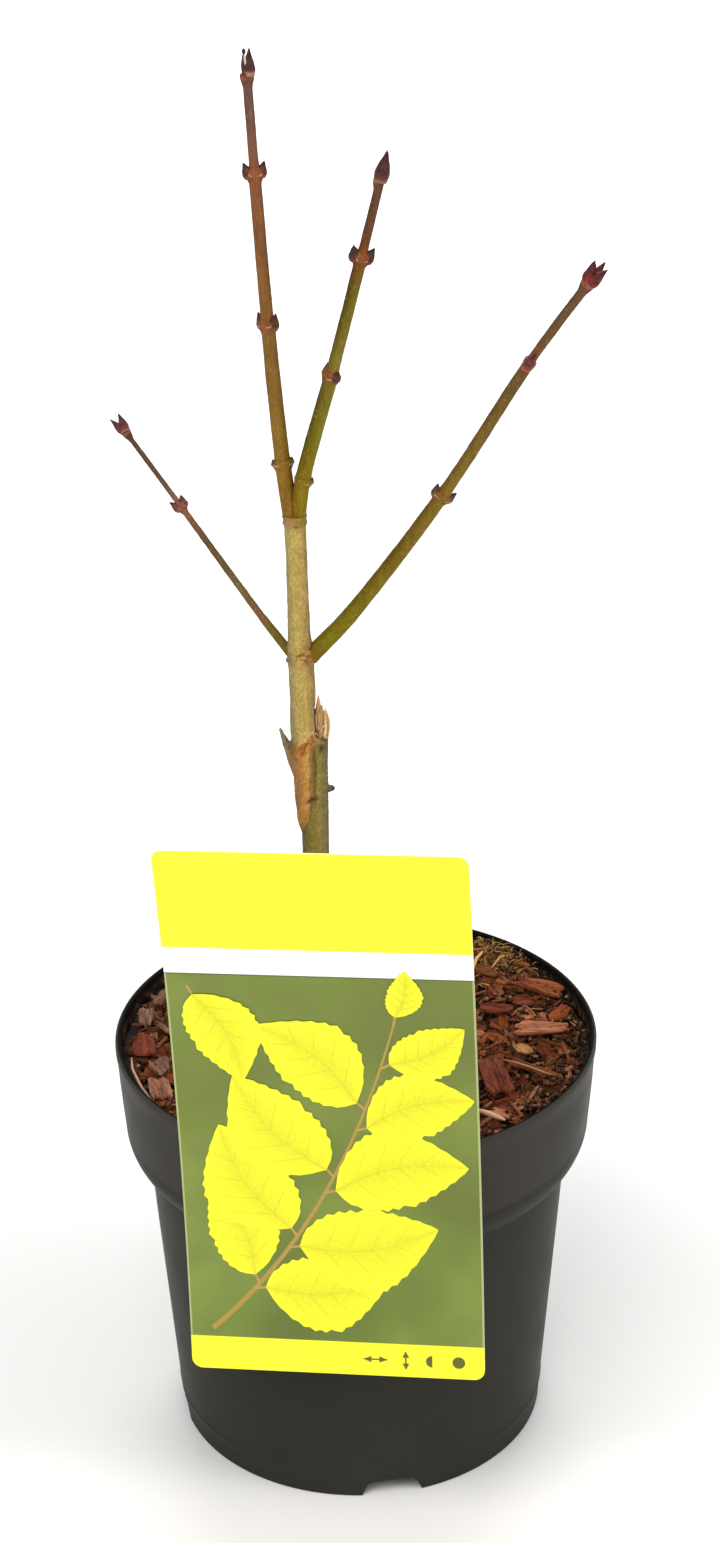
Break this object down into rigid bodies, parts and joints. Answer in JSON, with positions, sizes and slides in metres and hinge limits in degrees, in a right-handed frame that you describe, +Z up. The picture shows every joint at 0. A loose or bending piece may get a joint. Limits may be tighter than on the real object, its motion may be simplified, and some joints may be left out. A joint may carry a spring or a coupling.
{
  "type": "potted maple shrub",
  "caption": "Young grafted full moon maple with bare shoots and winter buds, in a black nursery pot topped with bark mulch, with a blank colour label hung on the rim.",
  "frame": {"origin": "centre of the pot's flat underside, on the surface that the pot stands on", "axes": "+Z up through the plant, -Y towards the viewer who faces the label, +X to that viewer's right"},
  "size_m": [0.19, 0.2061, 0.5562],
  "materials": {
    "pot_plastic": "smooth satin black injection-moulded plastic",
    "compost": "dark damp potting compost",
    "bark_mulch": "broken red-brown bark flakes",
    "trunk_bark": "tan bark above the graft, olive grey below it",
    "shoot_bark": "smooth olive and orange-brown young bark",
    "twigs": "smooth reddish young bark with dark maroon buds",
    "label_print": "printed card with a thin gloss film",
    "label_strip": "folded white strip"
  },
  "bodies": {
    "root": {"pot": "pot_plastic", "root_ball": "compost", "bark_mulch": "bark_mulch", "trunk": "trunk_bark", "leader_bough": "shoot_bark", "second_bough": "shoot_bark", "right_bough": "shoot_bark", "left_bough": "shoot_bark", "leader_twig": "twigs", "second_twig": "twigs", "right_twig": "twigs", "left_twig": "twigs", "label_card": "label_print", "label_hanger": "label_strip"}
  },
  "joints": []
}
